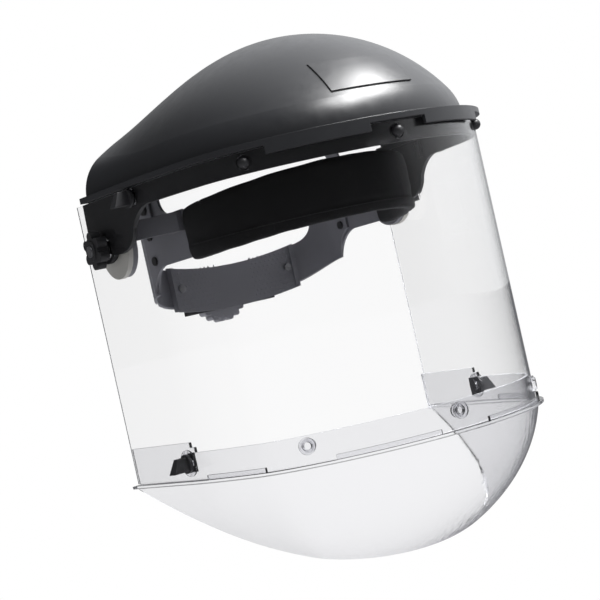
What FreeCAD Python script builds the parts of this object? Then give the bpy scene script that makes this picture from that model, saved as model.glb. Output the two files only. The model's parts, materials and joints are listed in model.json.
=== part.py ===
import FreeCAD, Part
import math
import os

# Face shield with crown, wrap-round window, clear chin guard and ratchet headgear.
# Millimetres. +Z up, the shield faces -Y, +X is the wearer's left. The origin is the middle
# of the wearer's head, level with the two side pivots; the tilt axis is 39 mm behind it.

os.makedirs("parts", exist_ok=True)
doc = FreeCAD.newDocument("face_shield")
V = FreeCAD.Vector

DIMS = {
    # plan curve of the window's outer face
    "window_front": 150, "front_radius": 127.5, "front_turn": 49.5, "corner_radius": 70,
    "corner_turn": 25, "side_radius": 370, "side_turn": 10.5, "side_run": 75.5,
    # heights of the visor, measured from the tilt axis
    "rim_top": 38, "flange_thick": 4, "flange_out": 5, "flange_in": 8, "flange_arc": 269,
    "lip_height": 5.5, "lip_thick": 2.4, "band_height": 14, "band_thick": 3, "fit_gap": 0.3,
    "window_thick": 1.5, "window_top": 33.7, "window_height": 198.4, "stud_level": 27,
    # crown: round front dome, then a barrel that widens and falls towards the rear
    "dome_back": 30, "crown_half": 116.6, "crown_rise": 80, "crown_bend": 36.6,
    "crown_wall": 2.5, "barrel_run": 78, "rear_half": 128, "rear_rise": 60.6, "rear_bend": 33.4,
    "plate_width": 63, "plate_low": 60, "plate_height": 22, "plate_rise": 0.9,
    # studs, rivets and latches
    "stud_arc": 102.2, "stud_dome": 3.8, "stud_stem": 2.5, "stud_hole": 5, "rivet_level": -153.5,
    "rivet_head": 4.2, "latch_arc": 210.5, "latch_shaft": 3, "latch_hole": 3.1,
    "latch_collar": 6.4, "wing_length": 13, "wing_height": 9.5, "wing_thick": 7.5,
    # chin guard
    "guard_thick": 2, "guard_low": -165, "guard_height": 18,
    "guard_step": 203, "ledge_thick": 2.2, "bowl_wall": 2, "bowl_depth": 113.8,
    "bowl_sunk": 21.7, "bowl_centre": -6.4, "bowl_slope": 0.51,
    # side pivots
    "pivot_back": 39, "ear_arc": 192, "ear_low": 12, "boss_in": 120, "boss_out": 124.4,
    "boss_radius": 9, "bolt_radius": 4, "bolt_bore": 4.06, "disc_in": 112, "disc_thick": 4,
    "disc_radius": 22, "washer_radius": 22.5, "washer_thick": 3.7, "knob_in": 129,
    "knob_thick": 8, "knob_core": 9.5, "knob_lobe": 3.6, "hub_radius": 6.5, "hub_in": 126.8,
    "knob_window_hole": 8.5,
    # headgear ring
    "ring_front": 97.5, "brow_radius": 72, "brow_turn": 55, "temple_radius": 127,
    "temple_turn": 35, "temple_run": 62, "nape_radius": 34, "nape_turn": 75,
    "rear_radius": 219.3, "rear_turn": 15, "ring_thick": 2, "brow_low": -19,
    "brow_height": 41, "sweat_pad": 5, "sweat_skin": 1.5,
    # rear adjustment
    "ratchet_level": -45, "cradle_low": -57, "cradle_height": 38.5, "house_height": 23,
    "house_depth": 17, "rear_knob_radius": 18.6, "rear_knob_lobe": 2.4, "rear_knob_thick": 12,
    "rack_height": 4, "spring_radius": 10,
    # crown strap
    "strap_width": 16, "strap_top": 86,
}
D = DIMS
sheet = doc.addObject("Spreadsheet::Sheet", "dims")
for row, (word, value) in enumerate(DIMS.items(), start=1):
    sheet.set("A%d" % row, word)
    sheet.set("B%d" % row, str(value))
    sheet.setAlias("B%d" % row, word)
doc.recompute()


def cell(*words):
    """Formula made of cell names and signs."""
    return " ".join("dims." + w if w in DIMS else str(w) for w in words)


class Plan:
    """A curve symmetric about the YZ plane, from its front point back along one side."""

    def __init__(self, front, runs):
        self.parts = []
        point, turn, start = V(0, -front, 0), 0.0, 0.0
        for radius, amount in runs:
            if radius is None:
                length = amount
                end = point + V(math.cos(turn), math.sin(turn), 0) * length
                self.parts.append((start, start + length, None, None, point, turn, turn))
                point = end
            else:
                angle = math.radians(amount)
                length = radius * angle
                centre = point + V(-math.sin(turn), math.cos(turn), 0) * radius
                self.parts.append((start, start + length, radius, centre, point, turn, turn + angle))
                turn += angle
                point = centre + V(math.sin(turn), -math.cos(turn), 0) * radius
            start += length
        self.length = start

    def at(self, arc, off=0.0):
        """Point at a signed arc length, moved outward by off, and the outward normal."""
        side = -1.0 if arc < 0 else 1.0
        a = min(abs(arc), self.length)
        for s0, s1, radius, centre, point, t0, _ in self.parts:
            if a <= s1 + 1e-9:
                break
        if radius is None:
            turn = t0
            base = point + V(math.cos(t0), math.sin(t0), 0) * (a - s0)
        else:
            turn = t0 + (a - s0) / radius
            base = centre + V(math.sin(turn), -math.cos(turn), 0) * radius
        normal = V(math.sin(turn), -math.cos(turn), 0)
        spot = base + normal * off
        return V(side * spot.x, spot.y, 0), V(side * normal.x, normal.y, 0)

    def edges(self, a0, a1, off):
        """Arcs and lines from arc length a0 to a1 at one offset."""
        marks = sorted({m * p[1] for p in self.parts for m in (-1, 1)})
        marks = [a0] + [m for m in marks if a0 + 1e-6 < m < a1 - 1e-6] + [a1]
        found = []
        for lo, hi in zip(marks[:-1], marks[1:]):
            first, middle, last = (self.at(a, off)[0] for a in (lo, (lo + hi) / 2, hi))
            chord = (first + last) * 0.5
            if (middle - chord).Length < 1e-6:
                found.append(Part.LineSegment(first, last))
            else:
                found.append(Part.Arc(first, middle, last))
        return found

    def strip(self, a0, a1, inner, outer):
        """Closed outline of a strip between two offsets."""
        out, inn = self.edges(a0, a1, outer), self.edges(a0, a1, inner)
        ends = [Part.LineSegment(self.at(a, inner)[0], self.at(a, outer)[0]) for a in (a0, a1)]
        return out + inn + ends


shield = Plan(D["window_front"], [
    (D["front_radius"], D["front_turn"]), (D["corner_radius"], D["corner_turn"]),
    (D["side_radius"], D["side_turn"]), (None, D["side_run"])])
ring = Plan(D["ring_front"], [
    (D["brow_radius"], D["brow_turn"]), (D["temple_radius"], D["temple_turn"]),
    (None, D["temple_run"]), (D["nape_radius"], D["nape_turn"]),
    (D["rear_radius"], D["rear_turn"])])


# ---------------------------------------------------------------- building helpers
def new_body(label):
    body = doc.addObject("PartDesign::Body", label)
    body.Label = label
    return body


def plane(body, role):
    return next(item for item in body.Origin.OriginFeatures if item.Role == role)


def sketch(body, role, name, curves, lift="0"):
    item = body.newObject("Sketcher::SketchObject", name)
    item.AttachmentSupport = [(plane(body, role), "")]
    item.MapMode = "FlatFace"
    item.addGeometry(curves, False)
    item.setExpression("AttachmentOffset.Base.z", lift)
    return item


def pad(body, name, profile, length, down=False):
    item = body.newObject("PartDesign::Pad", name)
    item.Profile = profile
    item.Reversed = down
    item.setExpression("Length", length)
    profile.Visibility = False
    return item


def pad_strip(body, name, curve, a0, a1, inner, outer, low, height):
    """Upright strip following a plan curve; low and height are formulas."""
    outline = sketch(body, "XY_Plane", name + "_outline", curve.strip(a0, a1, inner, outer), low)
    return pad(body, name, outline, height)


def polygon(points):
    """Closed chain of straight lines through points given as pairs."""
    spots = [V(a, b, 0) for a, b in points]
    return [Part.LineSegment(p, q) for p, q in zip(spots, spots[1:] + spots[:1])]


def through(body, name, curves):
    """Take away everything inside an outline drawn in side view, right across."""
    item = body.newObject("PartDesign::Pocket", name)
    item.Profile = sketch(body, "YZ_Plane", name + "_outline", curves)
    item.Midplane = True
    item.Length = 320
    item.Profile[0].Visibility = False


def chain(*points):
    """Straight lines through points given as pairs."""
    spots = [V(a, b, 0) for a, b in points]
    return [Part.LineSegment(p, q) for p, q in zip(spots, spots[1:])]


def bow(first, middle, last):
    return Part.Arc(*(V(a, b, 0) for a, b in (first, middle, last)))


def turned(direction):
    return FreeCAD.Rotation(V(0, 0, 1), direction)


def rod(name, spot, direction, start, end, radius):
    """Cylinder along a direction between two distances; sizes are formulas or numbers."""
    item = doc.addObject("Part::Cylinder", name)
    item.Placement = FreeCAD.Placement(spot + direction * start, turned(direction))
    item.Height = end - start
    if isinstance(radius, str):
        item.setExpression("Radius", cell(radius))
    else:
        item.Radius = radius
    return item


def ball_cap(name, spot, direction, start, radius):
    """Half ball standing on a plane square to a direction."""
    item = doc.addObject("Part::Sphere", name)
    item.Angle1 = 0
    item.Angle2 = 90
    item.Placement = FreeCAD.Placement(spot + direction * start, turned(direction))
    item.setExpression("Radius", cell(radius))
    return item


def block(name, low, high):
    item = doc.addObject("Part::Box", name)
    item.Placement.Base = V(*low)
    item.Length, item.Width, item.Height = (b - a for a, b in zip(low, high))
    return item


def join(label, items):
    if len(items) == 1:
        items[0].Label = label
        return items[0]
    item = doc.addObject("Part::MultiFuse", label)
    item.Shapes = items
    item.Label = label
    return item


def cut(label, base, tools):
    item = doc.addObject("Part::Cut", label)
    base.Label = label + "_blank"
    item.Base = base
    item.Tool = join(label + "_holes", tools)
    item.Label = label
    return item


def own_shape(label, shape):
    item = doc.addObject("Part::Feature", label)
    item.Shape = shape
    item.Label = label
    return item


nodes = []
full = shield.length
left_right = (("left", 1), ("right", -1))

# spots where fasteners pass through the visor
stud_spots = [shield.at(a) for a in (-D["stud_arc"], 0, D["stud_arc"])]
latch_spots = [shield.at(side * D["latch_arc"]) for _, side in left_right]
X = V(1, 0, 0)


def lifted(spot, level):
    return V(spot.x, spot.y, level)


# ---------------------------------------------------------------- crown shell
rim = D["rim_top"] - D["flange_thick"] / 2


def arch(half, rise, bend, wall, low):
    """Right half of a three-centre arch moved inward by wall, from its foot to the top."""
    reach = half - bend
    drop = (reach ** 2 - (rise - bend) ** 2) / (2 * (rise - bend))
    knee = math.atan2(drop, reach)

    def shoulder(angle):
        return V(reach + (bend - wall) * math.cos(angle), rim + (bend - wall) * math.sin(angle), 0)

    def top(angle):
        radius = rise + drop - wall
        return V(radius * math.cos(angle), rim - drop + radius * math.sin(angle), 0)

    foot = V(half - wall, low, 0)
    return [Part.LineSegment(foot, shoulder(0)),
            Part.Arc(shoulder(0), shoulder(knee / 2), shoulder(knee)),
            Part.Arc(shoulder(knee), top((knee + math.pi / 2) / 2), top(math.pi / 2))]


def front_profile(wall, low):
    curves = arch(D["crown_half"], D["crown_rise"], D["crown_bend"], wall, low)
    foot, peak = curves[0].StartPoint, curves[2].EndPoint
    return curves + [Part.LineSegment(peak, V(0, low, 0)), Part.LineSegment(V(0, low, 0), foot)]


def station_profile(step, wall, low):
    """Whole arch at one station of the barrel, closed by its chord."""
    half, rise, bend = (D["crown_" + w] + (D["rear_" + w] - D["crown_" + w]) * step ** power
                        for w, power in (("half", 1.5), ("rise", 2), ("bend", 1)))
    foot, shoulder, top = arch(half, rise, bend, wall, low)
    knee, peak = top.StartPoint, top.EndPoint

    def other(point):
        return V(-point.x, point.y, 0)

    middle = shoulder.value((shoulder.FirstParameter + shoulder.LastParameter) / 2)
    return [foot, shoulder, Part.Arc(knee, peak, other(knee)),
            Part.Arc(other(knee), other(middle), other(shoulder.StartPoint)),
            Part.LineSegment(other(foot.EndPoint), other(foot.StartPoint)),
            Part.LineSegment(other(foot.StartPoint), foot.StartPoint)]


def dome(body, tag, wall, low, kind):
    """Half turn of the front profile, added or taken away."""
    profile = sketch(body, "XZ_Plane", "dome_%s_profile" % tag, front_profile(wall, low),
                     cell("dome_back"))
    turn = body.newObject("PartDesign::" + kind, "dome_" + tag)
    turn.Profile = profile
    turn.ReferenceAxis = (profile, ["V_Axis"])
    turn.Angle = 180
    turn.Reversed = True
    profile.Visibility = False
    doc.recompute()


def barrel(body, tag, wall, low, kind, overrun):
    """Loft through five arches from the dome to the open rear."""
    sections = []
    for step in (0, 0.25, 0.5, 0.75, 1):
        reach = cell("dome_back", "-", "barrel_run") + " * %g" % (step + overrun * (step == 1))
        sections.append(sketch(body, "XZ_Plane", "barrel_%s_%d" % (tag, step * 100),
                               station_profile(step, wall, low), reach))
        sections[-1].Visibility = False
    loft = body.newObject("PartDesign::" + kind, "barrel_" + tag)
    loft.Profile = sections[0]
    loft.Sections = sections[1:]
    doc.recompute()


crown = new_body("crown_blank")
dome(crown, "outer", 0, rim - 1, "Revolution")
barrel(crown, "outer", 0, rim - 1, "AdditiveLoft", 0)
dome(crown, "inner", D["crown_wall"], rim - 1.5, "Groove")
barrel(crown, "inner", D["crown_wall"], rim - 1.5, "SubtractiveLoft", 0.02)
for inside in (V(0, -100, 60), V(0, 20, 60)):
    if crown.Shape.isInside(inside, 0.1, True):
        raise RuntimeError("crown is not hollow")

pad_strip(crown, "flange", shield, -D["flange_arc"], D["flange_arc"], -D["flange_in"],
          D["flange_out"], cell("rim_top", "-", "flange_thick"), cell("flange_thick"))
for name, side in left_right:
    a0, a1 = sorted((side * 20.5, side * 87))
    pad_strip(crown, "lip_" + name, shield, a0, a1, D["flange_out"] - D["lip_thick"],
              D["flange_out"], cell("rim_top", "-", "flange_thick", "-", "lip_height"),
              cell("lip_height", "+ 0.5"))
doc.recompute()

plate_block = doc.addObject("Part::Box", "plate_block")
plate_block.Placement.Base = V(-D["plate_width"] / 2, -170, D["plate_low"])
plate_block.setExpression("Length", cell("plate_width"))
plate_block.setExpression("Height", cell("plate_height"))
plate_block.Width = 120
plate_skin = new_body("plate_skin")
dome(plate_skin, "plate", -D["plate_rise"], rim - 1, "Revolution")
dome(plate_skin, "plate_back", 1, rim - 1.5, "Groove")
plate = doc.addObject("Part::Common", "front_plate")
plate.Base = plate_block
plate.Tool = plate_skin
nodes.append(join("crown_shell", [crown, plate]))

# ---------------------------------------------------------------- window band with ears
band = new_body("band_strip")
band_out = -(D["window_thick"] + D["fit_gap"])
band_in = band_out - D["band_thick"]
pad_strip(band, "strip", shield, -full, full, band_in, band_out,
          cell("rim_top", "-", "flange_thick", "-", "band_height"), cell("band_height"))


for name, side in left_right:
    a0, a1 = sorted((side * D["ear_arc"], side * full))
    pad_strip(band, "ear_" + name, shield, a0, a1, band_in, band_out, "-" + cell("ear_low"),
              cell("ear_low", "+", "rim_top", "-", "flange_thick"))
doc.recompute()
before = band.Shape.Volume
through(band, "ear_front", [bow((-26, 20.2), (-11, 15), (-3, 7.5)), bow((-3, 7.5), (4, -2), (12, -5.5)),
                            bow((12, -5.5), (20, -6.5), (29, -6)), bow((29, -6), (39, -10.7), (49, -6))]
        + chain((49, -6), (49, -14), (-120, -14), (-120, 19.8), (-26, 20.2)))
through(band, "ear_rear", [bow((49, -6), (54.5, 2), (57.6, 15))]
        + chain((57.6, 15), (56.5, 35), (66, 35), (66, -14), (49, -14), (49, -6)))
doc.recompute()
if band.Shape.Volume > before - 500:
    raise RuntimeError("ears not trimmed")
bosses = [rod("ear_boss_" + name, V(0, D["pivot_back"], 0), X * side, D["boss_in"], D["boss_out"],
              "boss_radius") for name, side in left_right]
tools = []
for n, (spot, normal) in enumerate(stud_spots):
    tools.append(rod("band_stud_hole_%d" % n, lifted(spot, D["stud_level"]), normal, -9, 2, 2.6))
for n, (spot, normal) in enumerate(latch_spots):
    tools.append(rod("band_latch_hole_%d" % n, lifted(spot, D["stud_level"]), normal, -12, 2,
                     "latch_hole"))
for name, side in left_right:
    tools.append(rod("band_bore_" + name, V(side * 112, D["pivot_back"], 0), X * side, 0, 18,
                     "bolt_bore"))
    x0, x1 = sorted((side * 110, side * 135))
    tools.append(block("band_slit_" + name, (x0, -4, 26), (x1, -1.8, 32)))
nodes.append(cut("window_band", join("band_blank", [band] + bosses), tools))

# ---------------------------------------------------------------- front studs
studs = []
for n, (spot, normal) in enumerate(stud_spots):
    here = lifted(spot, D["stud_level"])
    studs.append(join("stud_%d" % n, [
        rod("stud_stem_%d" % n, here, normal, -6.4, 1.2, "stud_stem"),
        rod("stud_back_%d" % n, here, normal, -6.4, band_in - 0.15, 4.5),
        rod("stud_neck_%d" % n, here, normal, -1.7, 0.9, "stud_dome"),
        ball_cap("stud_cap_%d" % n, here, normal, 0.9, "stud_dome")]))
nodes.append(join("front_studs", studs))

# ---------------------------------------------------------------- window
glass = new_body("window_sheet")
pad_strip(glass, "sheet", shield, -full, full, -D["window_thick"], 0,
          cell("window_top", "-", "window_height"), cell("window_height"))
doc.recompute()
tools = []
for n, (spot, normal) in enumerate(stud_spots):
    for tag, level in (("stud", D["stud_level"]), ("rivet", D["rivet_level"])):
        radius = "stud_hole" if tag == "stud" else 3.2
        tools.append(rod("window_%s_hole_%d" % (tag, n), lifted(spot, level), normal, -5, 4, radius))
for n, (spot, normal) in enumerate(latch_spots):
    for tag, level in (("upper", D["stud_level"]), ("lower", D["rivet_level"])):
        tools.append(rod("window_%s_latch_%d" % (tag, n), lifted(spot, level), normal, -5, 4, 3.6))
for name, side in left_right:
    tools.append(rod("window_knob_hole_" + name, V(side * 120, D["pivot_back"], 0), X * side,
                     0, 14, "knob_window_hole"))
nodes.append(cut("face_window", glass, tools))

# ---------------------------------------------------------------- chin guard
guard = new_body("guard_strip")
guard_out = band_out
guard_in = guard_out - D["guard_thick"]
pad_strip(guard, "strip", shield, -full, full, guard_in, guard_out, cell("guard_low", "- 1"),
          cell("guard_height", "+ 1"))
pad_strip(guard, "ledge", shield, -full, full, guard_in, D["flange_out"],
          cell("guard_low", "-", "ledge_thick"), cell("ledge_thick", "- 0.3"))
for name, side in left_right:
    for tag, lo, hi in (("mid", 18.5, 85), ("outer", 131, 186)):
        a0, a1 = sorted((side * lo, side * hi))
        pad_strip(guard, "lip_%s_%s" % (tag, name), shield, a0, a1,
                  D["flange_out"] - D["guard_thick"], D["flange_out"], cell("guard_low", "- 1"),
                  "4.2")
    for tag, start, extra in (("low", D["guard_step"], 3.5), ("high", D["guard_step"] + 5, 7)):
        a0, a1 = sorted((side * start, side * full))
        pad_strip(guard, "tab_%s_%s" % (tag, name), shield, a0, a1, guard_in, guard_out,
                  cell("guard_low"), cell("guard_height") + " + %g" % extra)


def bowl_point(arc, share, inset):
    """Point on the chin bowl; share runs from the ledge to the free edge."""
    deep, sunk = D["bowl_depth"] - inset, D["bowl_sunk"]
    centre = V(0, D["bowl_centre"], 0)
    base = shield.at(arc, 1.5 - inset)[0] - centre
    rear = shield.at(full)[0].y + 3

    def spot(drop):
        shrink = math.sqrt(max(1 - ((sunk + drop) / deep) ** 2, 0)) / math.sqrt(1 - (sunk / deep) ** 2)
        return centre + base * shrink

    low, high = 0.0, deep - sunk - 1
    for _ in range(40):
        middle = (low + high) / 2
        if middle > D["bowl_slope"] * (rear - spot(middle).y):
            high = middle
        else:
            low = middle
    drop = low * share
    found = spot(drop)
    return V(found.x, found.y, D["guard_low"] - 1.2 - drop)


def skin(points):
    surface = Part.BSplineSurface()
    surface.interpolate(points)
    return surface


def closed_skin(outer, inner):
    """Solid between two surfaces of the same layout."""
    faces = [outer.toShape(), inner.toShape()]
    u0, u1, v0, v1 = outer.bounds()
    for pick, value in (("uIso", u0), ("uIso", u1), ("vIso", v0), ("vIso", v1)):
        edges = [getattr(s, pick)(value).toShape() for s in (outer, inner)]
        faces.append(Part.makeRuledSurface(*edges))
    shell = Part.makeShell(faces)
    shell.sewShape()
    solid = Part.Solid(shell)
    if solid.Volume < 0:
        solid.reverse()
    return solid


def bowl_grid(inset):
    count = 36
    rows = []
    for i in range(count + 1):
        swing = -1 + 2 * i / count
        arc = full * swing
        rows.append([bowl_point(arc, math.sin(math.pi / 2 * j / 8), inset) for j in range(9)])
    return rows


bowl = own_shape("bowl_skin", closed_skin(skin(bowl_grid(0)), skin(bowl_grid(D["bowl_wall"]))))
guard_blank = join("guard_blank", [guard, bowl])
tools = []
for n, (spot, normal) in enumerate(stud_spots):
    tools.append(rod("guard_rivet_hole_%d" % n, lifted(spot, D["rivet_level"]), normal, -9, 2, 2.6))
for n, (spot, normal) in enumerate(latch_spots):
    tools.append(rod("guard_latch_hole_%d" % n, lifted(spot, D["rivet_level"]), normal, -9, 2,
                     "latch_hole"))
nodes.append(cut("chin_guard", guard_blank, tools))

rivets = []
for n, (spot, normal) in enumerate(stud_spots):
    here = lifted(spot, D["rivet_level"])
    rivets.append(join("rivet_%d" % n, [
        rod("rivet_stem_%d" % n, here, normal, -5.3, 1.2, "stud_stem"),
        rod("rivet_back_%d" % n, here, normal, -5.3, guard_in - 0.15, 4.5),
        rod("rivet_head_%d" % n, here, normal, 0.05, 1.8, 5.4),
        rod("rivet_crown_%d" % n, here, normal, 1.8, 2.8, "rivet_head")]))
nodes.append(join("chin_rivets", rivets))

# ---------------------------------------------------------------- quarter-turn latches
washers = []
for kind, level, inner, ring_radius in (("crown", D["stud_level"], band_in, 6.7),
                                        ("chin", D["rivet_level"], guard_in, 9)):
    for (name, side), (spot, normal) in zip(left_right, latch_spots):
        here = lifted(spot, level)
        tag = "%s_%s" % (kind, name)
        washers.append(cut("ring_" + tag, rod("ring_disc_" + tag, here, normal, 0, 1.2,
                                                     ring_radius),
                           [rod("ring_eye_" + tag, here, normal, -1, 2, 3.5)]))
        wing = doc.addObject("Part::Wedge", "wing_" + tag)
        half_t, half_h, reach = D["wing_thick"] / 2, D["wing_height"] / 2, D["wing_length"]
        wing.Xmin, wing.Xmax, wing.X2min, wing.X2max = -half_t, half_t, -half_t * 0.6, half_t * 0.6
        wing.Ymin, wing.Ymax = -half_h, half_h
        wing.Zmin, wing.Zmax, wing.Z2min, wing.Z2max = 0, reach, 0, reach - 5
        wing.Placement = FreeCAD.Placement(here + normal * 2.2,
                                           FreeCAD.Rotation(V(-normal.y, normal.x, 0), V(0, 0, 1),
                                                            normal, "ZYX"))
        tongue = doc.addObject("Part::Box", "tongue_" + tag)
        tongue.Length, tongue.Width, tongue.Height = 5, 13, 1.6
        tongue.Placement = FreeCAD.Placement(here, wing.Placement.Rotation)
        tongue.Placement.Base = here + wing.Placement.Rotation.multVec(V(-2.5, -6.5, inner - 1.9))
        nodes.append(join("%s_latch_%s" % (kind, name), [
            wing, tongue, rod("latch_shaft_" + tag, here, normal, inner - 1, 2, "latch_shaft"),
            rod("latch_collar_" + tag, here, normal, 1.5, 3.4, "latch_collar")]))
nodes.append(join("latch_washers", washers))

# ---------------------------------------------------------------- side pivots
disc_out = D["disc_in"] + D["disc_thick"]
for name, side in left_right:
    axis, centre = X * side, V(0, D["pivot_back"], 0)
    nodes.append(join("pivot_bolt_" + name, [
        rod("bolt_head_" + name, centre, axis, D["disc_in"] - 3.5, D["disc_in"], 8),
        rod("bolt_shaft_" + name, centre, axis, D["disc_in"] - 1, D["knob_in"] + D["knob_thick"] + 2,
            "bolt_radius")]))
    core = [rod("knob_core_" + name, centre, axis, D["knob_in"], D["knob_in"] + D["knob_thick"],
                "knob_core"),
            rod("knob_hub_" + name, centre, axis, D["hub_in"], D["knob_in"] + 1, "hub_radius"),
            rod("knob_face_" + name, centre, axis, D["knob_in"] + D["knob_thick"] - 1,
                D["knob_in"] + D["knob_thick"] + 1.2, 7)]
    for n in range(6):
        turn = math.radians(60 * n + 30)
        away = V(0, math.cos(turn), math.sin(turn)) * D["knob_core"]
        core.append(rod("knob_lobe_%s_%d" % (name, n), centre + away, axis, D["knob_in"] + 0.6,
                        D["knob_in"] + D["knob_thick"], "knob_lobe"))
    nodes.append(cut("tension_knob_" + name, join("knob_blank_" + name, core),
                     [rod("knob_bore_" + name, centre, axis, 118, 145, "bolt_bore")]))
    washer = rod("washer_disc_" + name, centre, axis, disc_out, disc_out + D["washer_thick"],
                 "washer_radius")
    nodes.append(cut("friction_washer_" + name, washer,
                     [rod("washer_eye_" + name, centre, axis, 114, 122, 4.2)]))

    bracket = new_body("bracket_arm_" + name)
    path = [(82.1, 2), (86.2, 2), (116, 23.5), (116, 40), (112, 40), (112, 25.5),
            (86.2, 7.2), (86.2, 20), (82.1, 20)]
    outline = sketch(bracket, "XY_Plane", "arm_outline_" + name,
                     polygon([(side * a, b) for a, b in path]), "0.5")
    pad(bracket, "arm_" + name, outline, "13.5")
    disc = rod("bracket_disc_" + name, centre, axis, D["disc_in"], disc_out, "disc_radius")
    nodes.append(cut("side_bracket_" + name, join("bracket_blank_" + name, [bracket, disc]),
                     [rod("bracket_eye_" + name, centre, axis, 104, 122, 4.0),
                      rod("bracket_screw_eye_" + name, V(0, 14, 7), axis, 78, 90, 2.1)]))

screws = []
for name, side in left_right:
    centre = V(0, 14, 7)
    screws.append(join("arm_screw_" + name, [
        rod("arm_screw_head_" + name, centre, X * side, 86.25, 88.4, 4),
        rod("arm_screw_stem_" + name, centre, X * side, 79.2, 86.25, 2)]))
nodes.append(join("bracket_screws", screws))

# ---------------------------------------------------------------- headband
arc_brow = math.radians(D["brow_turn"]) * D["brow_radius"]
arc_temple = arc_brow + math.radians(D["temple_turn"]) * D["temple_radius"]
arc_side = arc_temple + D["temple_run"]
pin_levels = (-14, 4)
headband = new_body("headband_strip")
pad_strip(headband, "brow", ring, -arc_side, arc_side, -D["ring_thick"], 0, cell("brow_low"),
          cell("brow_height"))
for name, side in left_right:
    for tag, lo, low, tall in (("skirt", arc_temple + 37, -40, 25), ("lug", arc_temple + 16, 10, 20)):
        a0, a1 = sorted((side * lo, side * arc_side))
        pad_strip(headband, "%s_%s" % (tag, name), ring, a0, a1, -D["ring_thick"], 0,
                  "%g" % low, "%g" % tall)
doc.recompute()
before = headband.Shape.Volume
through(headband, "brow_top", chain((-101, 21.8), (2, 14), (2, 15), (22, 15), (22, 24), (-101, 24),
                                    (-101, 21.8)))
through(headband, "brow_bottom", chain((-101, -15.6), (-36, -19.1), (-101, -19.1), (-101, -15.6)))
through(headband, "slope", [bow((44, -19), (59, -25.5), (69, -40.5))]
        + chain((69, -40.5), (42, -41), (42, -19), (44, -19)))
through(headband, "notch", [bow((22, 15), (30, 18), (34, 27))]
        + chain((34, 27), (34, 31), (22, 31), (22, 15)))
through(headband, "lug_end", [bow((69, 21), (65.5, 27.5), (57, 30.1))]
        + chain((57, 30.1), (57, 31), (70, 31), (70, 21), (69, 21)))
doc.recompute()
if headband.Shape.Volume > before - 500:
    raise RuntimeError("headband not trimmed")
tools = [rod("headband_screw_eye_" + name, V(0, 14, 7), X * side, 70, 90, 2.05)
         for name, side in left_right]
tools += [rod("headband_pin_eye_%s_%d" % (name, level), V(0, 56, level), X * side, 70, 90, 1.6)
          for name, side in left_right for level in pin_levels]
tools += [rod("headband_strap_eye_" + name, V(0, 52, 23), X * side, 70, 90, 2.1)
          for name, side in left_right]
nodes.append(cut("front_headband", headband, tools))

# ---------------------------------------------------------------- sweatband
gap = D["fit_gap"]
sweat_end = arc_temple - 5


def sleeve(label, reach, inner, outer, front_top, rear_top, front_low, rear_low):
    """Upright strip of the ring cut to a top and a bottom edge that both fall to the rear."""
    body = new_body(label)
    pad_strip(body, "strip", ring, -reach, reach, inner, outer, "-26", "52")
    doc.recompute()
    before = body.Shape.Volume
    through(body, "top_edge", chain((-101, front_top), (5, rear_top), (5, 27), (-101, 27),
                                    (-101, front_top)))
    through(body, "low_edge", chain((-101, front_low), (5, rear_low), (5, -27), (-101, -27),
                                    (-101, front_low)))
    doc.recompute()
    if body.Shape.Volume > 0.9 * before:
        raise RuntimeError(label + " not trimmed")
    return body


cover = sleeve("sweat_cover", sweat_end, -D["ring_thick"] - gap - D["sweat_pad"],
               gap + D["sweat_skin"], 23.6, 15.6, -17.4, -23)
hollow = sleeve("sweat_hollow", sweat_end + 2, -D["ring_thick"] - gap, gap, 22.1, 14.1, -16, -21.9)
nodes.append(cut("sweatband", cover, [hollow]))

# ---------------------------------------------------------------- rear straps
level = D["ratchet_level"]
end_arc = ring.length
rear_y = ring.at(end_arc)[0].y
rear_centre = V(0, rear_y - D["rear_radius"], 0)


def rear_strip(from_deg, to_deg, inner, outer):
    """Closed outline on the rear arc between two angles from the middle of the nape."""
    def spot(angle, off):
        turn = math.radians(angle)
        return rear_centre + V(math.sin(turn), math.cos(turn), 0) * (D["rear_radius"] + off)

    middle = (from_deg + to_deg) / 2
    sides = [Part.Arc(spot(from_deg, off), spot(middle, off), spot(to_deg, off))
             for off in (inner, outer)]
    ends = [Part.LineSegment(spot(a, inner), spot(a, outer)) for a in (from_deg, to_deg)]
    return sides + ends


def rear_pad(body, name, half, inner, outer, low, height):
    profile = sketch(body, "XY_Plane", name + "_outline", rear_strip(-half, half, inner, outer),
                     low)
    return pad(body, name, profile, height)


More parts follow.
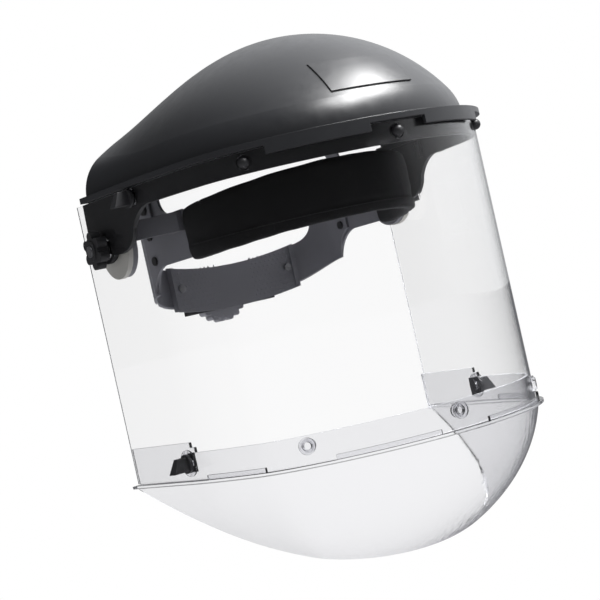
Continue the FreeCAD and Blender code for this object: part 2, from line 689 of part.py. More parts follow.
rack_pitch = 3.38
for name, side in left_right:
    strap = new_body("rear_strap_blank_" + name)
    inner, outer = -D["ring_thick"] - 1.9, -D["ring_thick"]
    a0, a1 = sorted((side * (arc_side - 20), side * (end_arc - 47.5)))
    pad_strip(strap, "bend_" + name, ring, a0, a1, inner, outer, "-51.5", "81")
    doc.recompute()
    before = strap.Shape.Volume
    through(strap, "upper_edge_" + name,
            [bow((66, 29.2), (81, 17), (88, -6)), bow((88, -6), (91.5, -15), (99, -20.5))]
            + chain((99, -20.5), (115, -20.5), (115, 31), (44, 31), (44, 12), (58, 12), (61, 29.2),
                    (66, 29.2)))
    through(strap, "lower_edge_" + name,
            [bow((44, -16.5), (57, -22), (65, -38)), bow((65, -38), (83, -41.5), (100, -50))]
            + chain((100, -50), (100, -54), (44, -54), (44, -16.5)))
    doc.recompute()
    if strap.Shape.Volume > 0.85 * before:
        raise RuntimeError("rear strap not trimmed")
    rack_low = level + 5.9 * side - D["rack_height"] / 2
    profile = sketch(strap, "XY_Plane", "tail_outline_" + name,
                     rear_strip(side * 13, -side * 5.5, inner + 0.1, outer - 0.1),
                     "%g" % rack_low)
    pad(strap, "tail_" + name, profile, cell("rack_height"))
    doc.recompute()
    tools = [rod("strap_pin_eye_%s_%d" % (name, z), V(0, 56, z), X * side, 70, 90, 1.6)
             for z in pin_levels]
    edge = rack_low - 0.5 if side > 0 else rack_low + D["rack_height"] - 1
    tools += [block("rack_notch_%s_%d" % (name, n), (rack_pitch * n - 1, rear_y - 7, edge),
                    (rack_pitch * n + 1, rear_y + 1, edge + 1.5)) for n in range(-5, 6)]
    nodes.append(cut("rear_strap_" + name, strap, tools))

pins = [join("pin_%s_%d" % (name, z), [
    rod("pin_stem_%s_%d" % (name, z), V(0, 56, z), X * side, 77.6, 82, 1.5),
    rod("pin_head_%s_%d" % (name, z), V(0, 56, z), X * side, 82, 83.4, 3.2),
    rod("pin_tail_%s_%d" % (name, z), V(0, 56, z), X * side, 76.5, 77.9, 3)])
    for name, side in left_right for z in pin_levels]
nodes.append(join("strap_pins", pins))

# ---------------------------------------------------------------- rear cradle and ratchet
Y = V(0, 1, 0)
hub = V(0, 0, level)
cradle = new_body("cradle_plate")
front, back = -D["ring_thick"] - 5.6, -D["ring_thick"] - 2.2
rear_pad(cradle, "plate", 14.9, front, back, cell("cradle_low"), cell("cradle_height"))
for name, side in left_right:
    profile = sketch(cradle, "XY_Plane", "rib_outline_" + name,
                     rear_strip(side * 13.9, side * 14.8, front - 1.4, front + 0.4), "-51")
    pad(cradle, "rib_" + name, profile, "32")
doc.recompute()
before = cradle.Shape.Volume
for tag, curves in (("top", [bow((-60, -17.8), (0, -24.5), (60, -17.8))]
                     + chain((60, -17.8), (60, -17), (-60, -17), (-60, -17.8))),
                    ("bottom", [bow((-60, -50.9), (0, -57), (60, -50.9))]
                     + chain((60, -50.9), (60, -58), (-60, -58), (-60, -50.9)))):
    trim = cradle.newObject("PartDesign::Pocket", "cradle_" + tag)
    trim.Profile = sketch(cradle, "XZ_Plane", "cradle_%s_outline" % tag, curves)
    trim.Midplane = True
    trim.Length = 320
doc.recompute()
if cradle.Shape.Volume > before - 500:
    raise RuntimeError("cradle not trimmed")
tools = [rod("cradle_eye_" + name, V(side * 46.5, rear_y - 20, -36), Y, 0, 16, 1.7)
         for name, side in left_right]
nodes.append(cut("rear_cradle", cradle, tools))

cover = new_body("cover_block")
rear_pad(cover, "block", 9, back, D["house_depth"] - 3, cell("ratchet_level", "-",
                                                                "house_height", "/ 2"),
         cell("house_height"))
doc.recompute()
before = cover.Shape.Volume
profile = sketch(cover, "XY_Plane", "hollow_outline", rear_strip(-10, 10, back - 1, 3),
                 cell("ratchet_level", "- 10.3"))
hollow = cover.newObject("PartDesign::Pocket", "hollow")
hollow.Profile = profile
hollow.Reversed = True
hollow.Length = 20.6
doc.recompute()
if cover.Shape.Volume > 0.8 * before:
    raise RuntimeError("cover hollow not cut")
cover_face = rear_y + D["house_depth"] - 3
nodes.append(cut("ratchet_cover", cover, [rod("cover_bore", hub, Y, rear_y, cover_face + 4, 3.06)]))
nodes.append(join("cradle_screws", [join("cradle_screw_" + name, [
    rod("cradle_screw_stem_" + name, V(side * 46.5, 0, -36), Y, rear_y - 13.6, rear_y - 9.6, 1.6),
    rod("cradle_screw_head_" + name, V(side * 46.5, 0, -36), Y, rear_y - 15.2, rear_y - 13.5, 2.8)])
    for name, side in left_right]))


def toothed(count, root, tip, share):
    """Wheel outline with straight-sided teeth, first tooth pointing up."""
    points = []
    for n in range(count):
        for turn, radius in ((-share, root), (-share * 0.6, tip), (share * 0.6, tip), (share, root)):
            angle = math.pi / 2 + (n + turn) * 2 * math.pi / count
            points.append((radius * math.cos(angle), radius * math.sin(angle) + level))
    return polygon(points)


wheel = new_body("ratchet_pinion")
for name, outline, start, thick in (("pinion", toothed(8, 3.1, 4.9, 0.2), rear_y - 3.95, "2.4"),
                                    ("wheel", toothed(24, 6.3, 7.2, 0.35), rear_y - 1.6, "2")):
    profile = sketch(wheel, "XZ_Plane", name + "_outline", outline, "-%g" % start)
    pad(wheel, name, profile, thick, down=True)
profile = sketch(wheel, "XZ_Plane", "shaft_outline", [Part.Circle(V(0, level, 0), V(0, 0, 1), 3)],
                 "-%g" % (rear_y - 3.6))
pad(wheel, "shaft", profile, cell("house_depth", "+", "rear_knob_thick", "- 0.2"), down=True)
nodes.append(wheel)

start = cover_face + 0.4
parts = [rod("rear_knob_core", hub, Y, start, start + D["rear_knob_thick"], "rear_knob_radius"),
         rod("rear_knob_face", hub, Y, start + D["rear_knob_thick"] - 1,
             start + D["rear_knob_thick"] + 1.6, 13)]
for n in range(18):
    turn = 2 * math.pi * n / 18
    away = V(math.cos(turn), 0, math.sin(turn)) * D["rear_knob_radius"]
    parts.append(rod("rear_knob_lobe_%d" % n, hub + away, Y, start + 0.8,
                     start + D["rear_knob_thick"] - 0.8, "rear_knob_lobe"))
nodes.append(cut("ratchet_knob", join("rear_knob_blank", parts),
                 [rod("rear_knob_bore", hub, Y, start - 1, start + D["rear_knob_thick"] + 0.1, 3.0)]))

low, high = rear_y - 1.6, rear_y + 0.4
spring_ring = cut("spring_ring", rod("spring_rim", hub, Y, low, high, "spring_radius"),
                  [rod("spring_eye", hub, Y, low - 1, high + 1, 8.8)])
claws = [block("spring_claw_%d" % n, (x0, low, level - 0.7), (x0 + 1.4, high, level + 0.7))
         for n, x0 in enumerate((-9, 7.6))]
nodes.append(join("detent_spring", [spring_ring] + claws))

# ---------------------------------------------------------------- crown strap
strap_arch = Plan(D["strap_top"], [(120, 28), (52, 62), (None, 13)])


def flipped(curves):
    """The same curves with the second coordinate turned over, so that the front is the top."""
    result = []
    for curve in curves:
        a, b = curve.FirstParameter, curve.LastParameter
        spots = [curve.value(a + (b - a) * k / 2) for k in range(3)]
        spots = [V(p.x, -p.y, 0) for p in spots]
        straight = isinstance(curve, Part.LineSegment)
        result.append(Part.LineSegment(spots[0], spots[2]) if straight else Part.Arc(*spots))
    return result


strap_y = 52
for name, side, pieces in (("left", 1, ((-15.5, strap_arch.length, -1.4, 0.2),)),
                           ("right", -1, ((16, strap_arch.length, -1.4, 0.2), (-16, 24, -3.2, -1.5),
                                          (16, 24, -1.7, 0)))):
    strap = new_body("crown_strap_blank_" + name)
    for n, (lo, hi, inner, outer) in enumerate(pieces):
        a0, a1 = sorted((side * lo, side * hi))
        profile = sketch(strap, "XZ_Plane", "arch_%s_%d" % (name, n),
                         flipped(strap_arch.strip(a0, a1, inner, outer)),
                         "-(%g + " % strap_y + cell("strap_width") + " / 2)")
        pad(strap, "arch_pad_%s_%d" % (name, n), profile, cell("strap_width"))
    doc.recompute()
    nodes.append(cut("crown_strap_" + name, strap, [
        rod("crown_strap_eye_" + name, V(0, strap_y, 23), X * side, 70, 90, 2.1),
        rod("crown_peg_eye_" + name, V(0, strap_y, 0), V(0, 0, 1), 70, 95, 2.6)]))
peg_top = D["strap_top"]
nodes.append(join("crown_strap_peg", [
    rod("peg_stem", V(0, strap_y, 0), V(0, 0, 1), peg_top - 4.2, peg_top + 0.4, 2.5),
    rod("peg_head", V(0, strap_y, 0), V(0, 0, 1), peg_top + 0.3, peg_top + 2, 5),
    rod("peg_foot", V(0, strap_y, 0), V(0, 0, 1), peg_top - 4.8, peg_top - 3.3, 4)]))
nodes.append(join("strap_buttons", [join("button_" + name, [
    rod("button_stem_" + name, V(0, strap_y, 23), X * side, 79, 85, 2),
    rod("button_head_" + name, V(0, strap_y, 23), X * side, 84.3, 85.8, 4),
    rod("button_foot_" + name, V(0, strap_y, 23), X * side, 78.3, 79.8, 3.4)])
    for name, side in left_right]))

# ---------------------------------------------------------------- checks and files
doc.recompute()
for item in doc.Objects:
    if "Invalid" in item.State or "Error" in item.State:
        raise RuntimeError("%s did not compute" % item.Label)
for node in nodes:
    if node.Shape.isNull() or not node.Shape.isValid():
        raise RuntimeError("%s has no valid shape" % node.Label)
for node in nodes:
    node.Shape.exportStep("parts/%s.step" % node.Label)
    box = node.Shape.BoundBox
    print("%-24s %2d solid(s) %9.0f mm3  %s" % (node.Label, len(node.Shape.Solids), node.Shape.Volume,
          " ".join("%.1f" % b for b in (box.XMin, box.XMax, box.YMin, box.YMax, box.ZMin, box.ZMax))))
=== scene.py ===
import json
import math

import bpy
from mathutils import Matrix, Vector, noise


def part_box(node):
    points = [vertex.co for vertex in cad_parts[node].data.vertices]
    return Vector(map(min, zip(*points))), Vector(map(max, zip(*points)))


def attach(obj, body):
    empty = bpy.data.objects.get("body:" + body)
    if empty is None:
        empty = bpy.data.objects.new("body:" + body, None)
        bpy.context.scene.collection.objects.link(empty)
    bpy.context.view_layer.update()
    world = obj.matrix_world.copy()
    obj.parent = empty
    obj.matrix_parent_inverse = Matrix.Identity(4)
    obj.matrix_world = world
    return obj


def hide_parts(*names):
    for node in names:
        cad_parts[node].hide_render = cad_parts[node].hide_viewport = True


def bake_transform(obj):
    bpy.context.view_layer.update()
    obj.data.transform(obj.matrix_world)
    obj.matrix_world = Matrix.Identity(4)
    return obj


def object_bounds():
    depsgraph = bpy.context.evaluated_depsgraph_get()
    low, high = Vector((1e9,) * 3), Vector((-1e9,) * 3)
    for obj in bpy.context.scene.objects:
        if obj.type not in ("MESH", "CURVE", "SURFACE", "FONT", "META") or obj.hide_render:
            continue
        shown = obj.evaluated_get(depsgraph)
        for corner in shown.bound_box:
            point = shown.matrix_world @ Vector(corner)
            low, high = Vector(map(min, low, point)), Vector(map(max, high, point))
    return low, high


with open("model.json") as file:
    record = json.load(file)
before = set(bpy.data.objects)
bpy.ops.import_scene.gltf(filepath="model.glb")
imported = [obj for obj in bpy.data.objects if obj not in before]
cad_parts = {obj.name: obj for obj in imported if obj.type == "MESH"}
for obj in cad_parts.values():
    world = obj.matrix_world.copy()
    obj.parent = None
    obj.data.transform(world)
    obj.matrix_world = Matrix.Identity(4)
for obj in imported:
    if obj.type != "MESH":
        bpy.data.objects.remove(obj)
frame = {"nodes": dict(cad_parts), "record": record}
nodes = frame["nodes"]
cad_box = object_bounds()

MM = 0.001
SIDES = (("left", 1), ("right", -1))


# ---------------------------------------------------------------- camera
CAMERA_AZIMUTH = math.radians(-31.277)
CAMERA_ELEVATION = math.radians(-0.239)
CAMERA_ROLL = math.radians(-12.634)
CAMERA_DISTANCE = 1.224
CAMERA_TARGET = Vector((0.03287, 0.06422, -0.06308))
FOCAL_TO_WIDTH = 2.70912
SENSOR_WIDTH = 36


def make_camera():
    """Camera turned about its own axis, as a hand-held product shot."""
    az, el = CAMERA_AZIMUTH, CAMERA_ELEVATION
    back = Vector((math.sin(az) * math.cos(el), -math.cos(az) * math.cos(el), math.sin(el)))
    level = Vector((math.cos(az), math.sin(az), 0))
    rise = back.cross(level)
    right = level * math.cos(CAMERA_ROLL) + rise * math.sin(CAMERA_ROLL)
    up = rise * math.cos(CAMERA_ROLL) - level * math.sin(CAMERA_ROLL)
    camera = bpy.data.objects.new("camera", bpy.data.cameras.new("camera"))
    bpy.context.scene.collection.objects.link(camera)
    turn = Matrix((right, up, back)).transposed().to_4x4()
    camera.matrix_world = Matrix.Translation(CAMERA_TARGET + back * CAMERA_DISTANCE) @ turn
    camera.data.sensor_width = SENSOR_WIDTH
    camera.data.lens = FOCAL_TO_WIDTH * SENSOR_WIDTH
    camera.data.clip_start, camera.data.clip_end = 0.01, 100
    bpy.context.scene.camera = camera


# ---------------------------------------------------------------- node helpers
class Tree:
    """Short way to add and wire shader nodes."""

    def __init__(self, name):
        self.material = bpy.data.materials.new(name)
        self.material.use_nodes = True
        self.tree = self.material.node_tree
        self.tree.nodes.clear()
        self.out = self.add("ShaderNodeOutputMaterial")

    def add(self, kind, _props=None, **sockets):
        node = self.tree.nodes.new(kind)
        for key, value in (_props or {}).items():
            setattr(node, key, value)
        for key, value in sockets.items():
            self.set(node, key.replace("_", " "), value)
        return node

    def set(self, node, key, value):
        socket = node.inputs[key]
        if isinstance(value, bpy.types.NodeSocket):
            self.tree.links.new(value, socket)
        else:
            socket.default_value = value

    def coords(self):
        return self.add("ShaderNodeTexCoord").outputs["Object"]

    def noise(self, scale, detail=3.0, rough=0.55):
        node = self.add("ShaderNodeTexNoise", Scale=scale, Detail=detail, Roughness=rough)
        self.set(node, "Vector", self.coords())
        return node.outputs["Fac"]

    def spread(self, value, low, high):
        """Stretch the middle of a 0..1 value between two numbers."""
        node = self.add("ShaderNodeMapRange")
        self.set(node, "Value", value)
        for key, amount in (("From Min", 0.3), ("From Max", 0.7), ("To Min", low), ("To Max", high)):
            self.set(node, key, amount)
        return node.outputs["Result"]

    def shades(self, value, dark, light):
        ramp = self.add("ShaderNodeMix", {"data_type": "RGBA"})
        self.tree.links.new(value, ramp.inputs["Factor"])
        ramp.inputs[6].default_value = (*dark, 1)
        ramp.inputs[7].default_value = (*light, 1)
        return ramp.outputs[2]

    def bump(self, height, strength, distance, under=None):
        node = self.add("ShaderNodeBump", Strength=strength, Distance=distance)
        self.set(node, "Height", height)
        if under is not None:
            self.set(node, "Normal", under)
        return node.outputs["Normal"]

    def soft_edge(self, radius):
        """Normal rounded over sharp edges by a radius in metres."""
        return self.add("ShaderNodeBevel", {"samples": 4}, Radius=radius).outputs["Normal"]

    def finish(self, shader):
        self.tree.links.new(shader.outputs[0], self.out.inputs["Surface"])
        return self.material


def scaled(colour, amount):
    return tuple(c * amount for c in colour)


# ---------------------------------------------------------------- materials
def moulded(name, colour, rough, grain=900, grain_height=0.00002, variation=0.12, edge=0.0004):
    """Injection-moulded plastic: faint cloudiness, fine surface grain, rubbed high spots."""
    t = Tree(name)
    cloud = t.noise(14, 4)
    rubbed = t.noise(120, 6, 0.7)
    dark, light = scaled(colour, 1 - variation), scaled(colour, 1 + variation)
    normal = t.bump(t.noise(grain, 2, 0.6), 0.5, grain_height, t.soft_edge(edge))
    shader = t.add("ShaderNodeBsdfPrincipled", Base_Color=t.shades(cloud, dark, light))
    t.set(shader, "Roughness", t.spread(rubbed, rough - 0.04, rough + 0.05))
    t.set(shader, "Normal", normal)
    return t.finish(shader)


SHADOW_CLARITY = 0.95


def clear_plastic(name, tint, ior, rough, waviness, wave_scale):
    """Clear sheet: bends and mirrors what is round it, lets lamp light through."""
    t = Tree(name)
    glass = t.add("ShaderNodeBsdfPrincipled", Base_Color=(*tint, 1), IOR=ior)
    t.set(glass, "Transmission Weight", 1.0)
    t.set(glass, "Roughness", t.spread(t.noise(60, 5, 0.65), rough * 0.5, rough * 1.5))
    t.set(glass, "Normal", t.bump(t.noise(wave_scale, 2, 0.4), 0.35, waviness))
    clear = t.add("ShaderNodeBsdfTransparent", Color=(*scaled(tint, SHADOW_CLARITY), 1))
    path = t.add("ShaderNodeLightPath")
    mix = t.add("ShaderNodeMixShader")
    t.tree.links.new(path.outputs["Is Shadow Ray"], mix.inputs[0])
    t.tree.links.new(glass.outputs[0], mix.inputs[1])
    t.tree.links.new(clear.outputs[0], mix.inputs[2])
    return t.finish(mix)


def steel(name, colour, rough):
    """Plated steel with fine turning marks."""
    t = Tree(name)
    marks = t.add("ShaderNodeTexNoise", Scale=500, Detail=4)
    stretch = t.add("ShaderNodeMapping", Vector=t.coords(), Scale=(0.05, 1, 1))
    t.set(marks, "Vector", stretch.outputs[0])
    shader = t.add("ShaderNodeBsdfPrincipled", Metallic=1.0)
    t.set(shader, "Base Color", t.shades(t.noise(40, 4), scaled(colour, 0.8), colour))
    t.set(shader, "Roughness", t.spread(marks.outputs["Fac"], rough - 0.08, rough + 0.1))
    t.set(shader, "Normal", t.bump(marks.outputs["Fac"], 0.3, 0.00002, t.soft_edge(0.0003)))
    return t.finish(shader)


def brushed_cotton(name, colour):
    """Black brushed fabric: fine weave, lint, soft sheen."""
    t = Tree(name)
    where = t.coords()
    heights = []
    for axis, way in (("X", (1, 0.2, 0)), ("Z", (0, 0.1, 1))):
        turn = t.add("ShaderNodeMapping", Vector=where, Rotation=(0.1, 0.15, 0.1))
        wave = t.add("ShaderNodeTexWave", {"bands_direction": axis}, Scale=620, Distortion=1.2)
        t.set(wave, "Vector", turn.outputs[0])
        heights.append(wave.outputs["Fac"])
    weave = t.add("ShaderNodeMath", {"operation": "MULTIPLY"})
    t.tree.links.new(heights[0], weave.inputs[0])
    t.tree.links.new(heights[1], weave.inputs[1])
    fuzz = t.noise(900, 5, 0.75)
    cloud = t.noise(28, 5, 0.6)
    shader = t.add("ShaderNodeBsdfPrincipled", Roughness=0.93)
    t.set(shader, "Base Color", t.shades(cloud, scaled(colour, 0.65), scaled(colour, 1.5)))
    t.set(shader, "Sheen Weight", 0.12)
    t.set(shader, "Sheen Roughness", 0.45)
    t.set(shader, "Sheen Tint", (0.55, 0.55, 0.6, 1))
    t.set(shader, "Specular IOR Level", 0.2)
    under = t.bump(weave.outputs[0], 0.5, 0.0001)
    t.set(shader, "Normal", t.bump(fuzz, 0.4, 0.00008, under))
    return t.finish(shader)


def thread(name, colour):
    t = Tree(name)
    twist = t.add("ShaderNodeTexWave", {"bands_direction": "DIAGONAL"}, Scale=900)
    t.set(twist, "Vector", t.coords())
    shader = t.add("ShaderNodeBsdfPrincipled", Roughness=0.7)
    t.set(shader, "Base Color", t.shades(twist.outputs["Fac"], scaled(colour, 0.6), colour))
    t.set(shader, "Normal", t.bump(twist.outputs["Fac"], 0.6, 0.0001))
    return t.finish(shader)


def make_materials():
    """One finish for each material slot of the record."""
    return {
        "crown_grey": moulded("crown_grey", (0.017, 0.0175, 0.0195), 0.32, grain=1500,
                              grain_height=0.00001, variation=0.04, edge=0.0008),
        "black_plastic": moulded("black_plastic", (0.011, 0.011, 0.0125), 0.42, edge=0.0005),
        "clear_window": clear_plastic("clear_window", (0.998, 0.998, 1.0), 1.4, 0.02, 0.0002, 9),
        "clear_guard": clear_plastic("clear_guard", (0.925, 0.925, 0.94), 1.47, 0.05, 0.0008, 22),
        "clear_rivet": clear_plastic("clear_rivet", (0.9, 0.9, 0.92), 1.49, 0.08, 0.0002, 90),
        "latch_black": moulded("latch_black", (0.02, 0.02, 0.022), 0.38),
        "knob_black": moulded("knob_black", (0.013, 0.013, 0.0145), 0.45, grain=700),
        "bolt_steel": steel("bolt_steel", (0.42, 0.42, 0.44), 0.35),
        "headgear_grey": moulded("headgear_grey", (0.16, 0.16, 0.18), 0.42, grain=1100),
        "sweat_fabric": brushed_cotton("sweat_fabric", (0.005, 0.005, 0.0055)),
        "nylon_natural": moulded("nylon_natural", (0.5, 0.49, 0.46), 0.4, variation=0.08),
        "spring_steel": steel("spring_steel", (0.5, 0.5, 0.52), 0.28),
    }


def frosted(name, colour):
    """Sawn edge of a clear sheet: pale, scattering, a little light from inside."""
    t = Tree(name)
    shader = t.add("ShaderNodeBsdfPrincipled", Roughness=0.45)
    t.set(shader, "Base Color", t.shades(t.noise(300, 4), scaled(colour, 0.75), colour))
    t.set(shader, "Transmission Weight", 0.35)
    return t.finish(shader)


RIM_DEPTH, FOOT_DEPTH, END_DEPTH = 0.012, 0.002, 0.001


def sawn_edges(finish):
    """Give the thin end faces of the clear sheets their frosted finish."""
    for node in ("face_window", "chin_guard"):
        item = nodes[node]
        low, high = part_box(node)
        top = high.z - RIM_DEPTH
        item.data.materials.append(finish)
        turn = item.matrix_world.to_3x3()
        for face in item.data.polygons:
            middle, normal = item.matrix_world @ face.center, (turn @ face.normal).normalized()
            flat = abs(normal.z) > 0.95 and (middle.z > top or middle.z < low.z + FOOT_DEPTH)
            if flat or (middle.y > high.y - END_DEPTH and normal.y > 0.5):
                face.material_index = len(item.data.materials) - 1


def dress(finishes):
    """Give every CAD node the finish of its slot."""
    for part in frame["record"]["subparts"]:
        mesh = nodes[part["node"]].data
        mesh.materials.clear()
        mesh.materials.append(finishes[part["material_slot"]])


# ---------------------------------------------------------------- mesh helpers
def mesh_piece(name, points, faces, material, smooth=True):
    mesh = bpy.data.meshes.new(name)
    mesh.from_pydata([tuple(p) for p in points], [], [tuple(f) for f in faces])
    mesh.materials.append(material)
    mesh.update()
    for polygon in mesh.polygons:
        polygon.use_smooth = smooth
    piece = bpy.data.objects.new(name, mesh)
    bpy.context.scene.collection.objects.link(piece)
    return piece


def tube_faces(rows, around):
    """Quads of a tube made of closed rings, with a cap at each end."""
    faces = [(r * around + k, r * around + (k + 1) % around, (r + 1) * around + (k + 1) % around,
              (r + 1) * around + k) for r in range(rows - 1) for k in range(around)]
    faces.append(tuple(reversed(range(around))))
    faces.append(tuple((rows - 1) * around + k for k in range(around)))
    return faces


class Ring:
    """Plan of the head ring, from its front point back along one side, in millimetres and degrees."""

    FRONT = 97.5
    RUNS = ((72, 55), (127, 35), (None, 62), (34, 75), (219.3, 15))

    def __init__(self):
        self.parts = []
        spot, turn, start = Vector((0, -self.FRONT)), 0.0, 0.0
        for radius, amount in self.RUNS:
            length = amount if radius is None else radius * math.radians(amount)
            self.parts.append((start, start + length, radius, spot.copy(), turn))
            if radius is None:
                spot = spot + Vector((math.cos(turn), math.sin(turn))) * length
            else:
                centre = spot + Vector((-math.sin(turn), math.cos(turn))) * radius
                turn += length / radius
                spot = centre + Vector((math.sin(turn), -math.cos(turn))) * radius
            start += length
        self.length = start

    def at(self, arc, off=0.0):
        """Point at a signed arc length in millimetres, moved outward by off."""
        side, a = (-1 if arc < 0 else 1), min(abs(arc), self.length)
        for s0, s1, radius, spot, turn in self.parts:
            if a <= s1 + 1e-9:
                break
        if radius is None:
            here = spot + Vector((math.cos(turn), math.sin(turn))) * (a - s0)
        else:
            centre = spot + Vector((-math.sin(turn), math.cos(turn))) * radius
            turn += (a - s0) / radius
            here = centre + Vector((math.sin(turn), -math.cos(turn))) * radius
        here = here + Vector((math.sin(turn), -math.cos(turn))) * off
        return side * here.x, here.y


ring = Ring()


# ---------------------------------------------------------------- sweatband
SWEAT_END = 141.4
SWEAT_TOP, SWEAT_LOW = (23.2, 15.2), (-17.0, -22.6)
SWEAT_FRONT, SWEAT_REAR = -101, 5
SWEAT_OUT, SWEAT_IN = 1.8, -7.3
CREASE_AT = -9.0


def sweatband(finishes):
    """Padded sleeve round the front of the headband, folded and stitched along its length."""
    rows, around = 150, 72
    middle_o, half_o = (SWEAT_OUT + SWEAT_IN) / 2, (SWEAT_OUT - SWEAT_IN) / 2
    points = []
    for r in range(rows):
        share = r / (rows - 1)
        arc = -SWEAT_END + 2 * SWEAT_END * share
        end = min(share, 1 - share) * 2 * SWEAT_END
        pinch = 1 - 0.10 * math.exp(-end / 5)
        back = (ring.at(arc)[1] - SWEAT_FRONT) / (SWEAT_REAR - SWEAT_FRONT)
        top, low = (edge[0] + (edge[1] - edge[0]) * back for edge in (SWEAT_TOP, SWEAT_LOW))
        middle_z, half_z = (top + low) / 2, (top - low) / 2
        for k in range(around):
            turn = 2 * math.pi * k / around
            c, s = math.cos(turn), math.sin(turn)
            off = middle_o + half_o * math.copysign(abs(c) ** 0.55, c)
            z = middle_z + half_z * pinch * math.copysign(abs(s) ** 0.42, s)
            lump = noise.noise(Vector((arc * 0.055, z * 0.09, c)))
            pucker = noise.noise(Vector((arc * 0.4, z * 0.12, 7 + c)))
            crease = math.exp(-((z - CREASE_AT) / 1.5) ** 2)
            inward = 1.0 if c > 0 else -1.0
            off += inward * (0.35 * lump - 0.75 * crease * abs(c) + 0.22 * pucker * crease)
            z += 0.45 * noise.noise(Vector((arc * 0.06, 3.0, s))) * abs(s)
            x, y = ring.at(arc, off)
            points.append((x * MM, y * MM, z * MM))
    band = mesh_piece("sweatband_cover", points, tube_faces(rows, around), finishes["sweat_fabric"])
    band.data.polygons[-1].use_smooth = False
    band.data.polygons[-2].use_smooth = False
    smooth = band.modifiers.new("finer", "SUBSURF")
    smooth.levels = smooth.render_levels = 1
    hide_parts("sweatband")
    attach(band, "headgear")
    stitches(finishes)


def stitches(finishes):
    """Running stitch along both faces beside the folded crease."""
    step, stitch, thick, around = 3.4, 2.3, 0.28, 6
    points, faces = [], []
    for off, level in ((SWEAT_OUT - 0.2, CREASE_AT - 2.2), (SWEAT_IN + 0.2, CREASE_AT - 2.2)):
        count = int(2 * (SWEAT_END - 6) / step)
        for n in range(count):
            arc = -SWEAT_END + 6 + n * step
            base = len(points)
            for j in range(5):
                share = j / 4
                rise = math.sin(math.pi * share) * 0.35 * (1 if off > 0 else -1)
                width = thick * (0.5 + 0.5 * math.sin(math.pi * share))
                for k in range(around):
                    turn = 2 * math.pi * k / around
                    x, y = ring.at(arc + stitch * share, off + rise + width * math.cos(turn))
                    points.append((x * MM, y * MM, (level + width * math.sin(turn)) * MM))
            faces += [tuple(base + v for v in face) for face in tube_faces(5, around)]
    seam = mesh_piece("sweatband_stitches", points, faces, finishes["thread"])
    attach(seam, "headgear")


def rear_straps(finishes):
    """Straps copied from the CAD parts as loose objects, in the headgear finish."""
    for name, side in SIDES:
        node = "rear_strap_" + name
        mesh = nodes[node].data.copy()
        strap = bpy.data.objects.new("flex_strap_" + name, mesh)
        bpy.context.scene.collection.objects.link(strap)
        mesh.materials.clear()
        mesh.materials.append(finishes["headgear_grey"])
        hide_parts(node)
        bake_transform(strap)


# ---------------------------------------------------------------- cradle grip
GRIP_PITCH = 3.6
NAPE_RADIUS = 219.3


def cradle_grip(finishes):
    """Diamond studs moulded on the inner face of the cradle, towards both ends."""
    low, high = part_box("rear_cradle")
    rear = ring.at(ring.length)[1]
    centre_y = rear - NAPE_RADIUS
    radius = NAPE_RADIUS - 7.6
    z_mid = (low.z + high.z) / 2 / MM
    points, faces = [], []
    for side in (-1, 1):
        for row in range(-4, 5):
            for col in range(9):
                across = side * (18 + (col + 0.5 * (row % 2)) * GRIP_PITCH)
                z = z_mid + row * GRIP_PITCH * 0.95
                base = len(points)
                half = GRIP_PITCH * 0.47
                for da, dz, lift in ((-half, 0, 0), (0, -half, 0), (half, 0, 0), (0, half, 0),
                                     (0, 0, 0.55)):
                    turn = (across + da) / radius
                    reach = radius + 0.15 - lift
                    points.append((math.sin(turn) * reach * MM,
                                   (centre_y + math.cos(turn) * reach) * MM, (z + dz) * MM))
                faces += [(base + a, base + b, base + 4) for a, b in ((0, 1), (1, 2), (2, 3), (3, 0))]
                faces.append((base + 3, base + 2, base + 1, base))
    grip = mesh_piece("cradle_grip", points, faces, finishes["headgear_grey"], smooth=False)
    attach(grip, "cradle")


# ---------------------------------------------------------------- stage
FLOOR_DROP = 0.32
FLOOR_REACH = 30
SKY_WAY = (0.66, 0.0, 0.751)
SKY_RAMP = (0.25, 1.0, 0.03, 1.5)
FILL = 0.7
KEY_WAY, KEY_REACH, KEY_SIZE, KEY_POWER = (0.39, -0.40, 0.83), 1.3, (1.05, 0.4), 44


def unscattered(tree):
    """1 on rays that have met nothing but clear plastic on their way, else 0."""
    path = tree.nodes.new("ShaderNodeLightPath")
    depth = tree.nodes.new("ShaderNodeMath")
    depth.operation = "ADD"
    tree.links.new(path.outputs["Diffuse Depth"], depth.inputs[0])
    tree.links.new(path.outputs["Glossy Depth"], depth.inputs[1])
    first = tree.nodes.new("ShaderNodeMath")
    first.operation = "LESS_THAN"
    first.inputs[1].default_value = 0.5
    tree.links.new(depth.outputs[0], first.inputs[0])
    return first.outputs[0], path.outputs["Diffuse Depth"]


def floor_finish():
    """Pale floor, mostly lit from below like a light table."""
    t = Tree("floor_pale")
    paint = t.add("ShaderNodeBsdfDiffuse", Color=(0.25, 0.25, 0.26, 1))
    glow = t.add("ShaderNodeEmission", Color=(1, 1, 1, 1), Strength=1.0)
    mix = t.add("ShaderNodeMixShader")
    t.tree.links.new(unscattered(t.tree)[0], mix.inputs[0])
    t.tree.links.new(paint.outputs[0], mix.inputs[1])
    t.tree.links.new(glow.outputs[0], mix.inputs[2])
    return t.finish(mix)


def make_floor():
    size, z = FLOOR_REACH, cad_box[0].z - FLOOR_DROP
    floor = mesh_piece("floor", [(-size, -size, z), (size, -size, z), (size, size, z), (-size, size, z)],
                       [(0, 1, 2, 3)], floor_finish(), smooth=False)


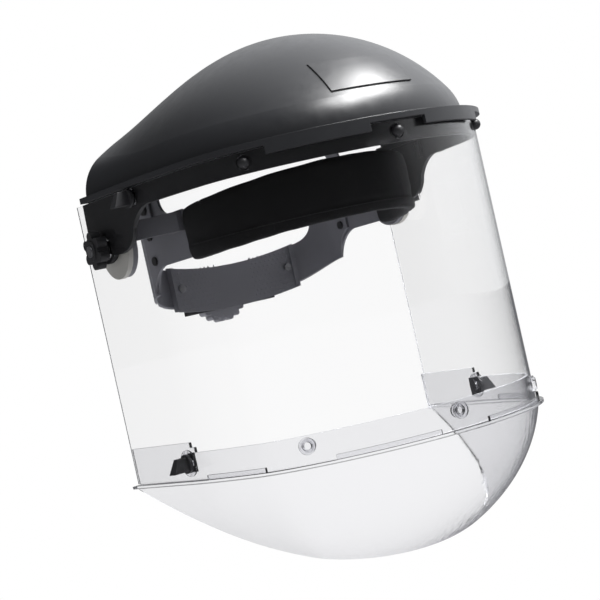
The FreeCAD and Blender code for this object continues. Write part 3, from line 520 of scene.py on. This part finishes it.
def make_world():
    """White surround for the camera; a dim fill; mirrored light only from above on the left."""
    world = bpy.data.worlds.new("studio")
    bpy.context.scene.world = world
    world.use_nodes = True
    world.cycles.sampling_method = "NONE"
    tree = world.node_tree
    tree.nodes.clear()
    new = tree.nodes.new

    def background(strength):
        node = new("ShaderNodeBackground")
        node.inputs["Color"].default_value = (0.96, 0.975, 1, 1)
        if isinstance(strength, float):
            node.inputs["Strength"].default_value = strength
        else:
            tree.links.new(strength, node.inputs["Strength"])
        return node.outputs[0]

    def mix(factor, first, second):
        node = new("ShaderNodeMixShader")
        for socket, value in zip(node.inputs, (factor, first, second)):
            tree.links.new(value, socket)
        return node.outputs[0]

    where = new("ShaderNodeTexCoord")
    along = new("ShaderNodeVectorMath")
    along.operation = "DOT_PRODUCT"
    along.inputs[1].default_value = SKY_WAY
    tree.links.new(where.outputs["Generated"], along.inputs[0])
    ramp = new("ShaderNodeMapRange")
    ramp.interpolation_type = "SMOOTHSTEP"
    tree.links.new(along.outputs["Value"], ramp.inputs["Value"])
    for key, amount in zip(("From Min", "From Max", "To Min", "To Max"), SKY_RAMP):
        ramp.inputs[key].default_value = amount
    first, diffuse_depth = unscattered(tree)
    white = new("ShaderNodeBackground")
    scattered = new("ShaderNodeMath")
    scattered.operation = "GREATER_THAN"
    scattered.inputs[1].default_value = 0.5
    tree.links.new(diffuse_depth, scattered.inputs[0])
    lit = mix(scattered.outputs[0], background(ramp.outputs["Result"]), background(FILL))
    out = new("ShaderNodeOutputWorld")
    white.inputs["Color"].default_value = (1, 1, 1, 1)
    tree.links.new(mix(first, lit, white.outputs[0]), out.inputs["Surface"])


def softbox(name, direction, distance, width, height, power, aim=(0, -0.1, 0.03)):
    """Large area lamp aimed at the crown."""
    lamp = bpy.data.lights.new(name, "AREA")
    lamp.shape = "RECTANGLE"
    lamp.size, lamp.size_y = width, height
    lamp.energy = power
    item = bpy.data.objects.new(name, lamp)
    bpy.context.scene.collection.objects.link(item)
    toward = Vector(direction).normalized()
    item.location = Vector(aim) + toward * distance
    item.rotation_euler = toward.to_track_quat("Z", "Y").to_euler()
    return item


def make_lights():
    """One long softbox over the crown."""
    softbox("key", KEY_WAY, KEY_REACH, *KEY_SIZE, KEY_POWER)


# ---------------------------------------------------------------- the whole scene
bpy.context.scene.view_settings.view_transform = "Standard"
make_camera()
make_world()
make_lights()
make_floor()
finishes = make_materials()
finishes["thread"] = thread("thread", (0.02, 0.02, 0.022))
dress(finishes)
nodes["ratchet_knob"].data.materials[0] = moulded("grey_knob", (0.3, 0.3, 0.33), 0.5, grain=700)
sawn_edges(frosted("sawn_edge", (0.5, 0.51, 0.54)))
sweatband(finishes)
rear_straps(finishes)
cradle_grip(finishes)
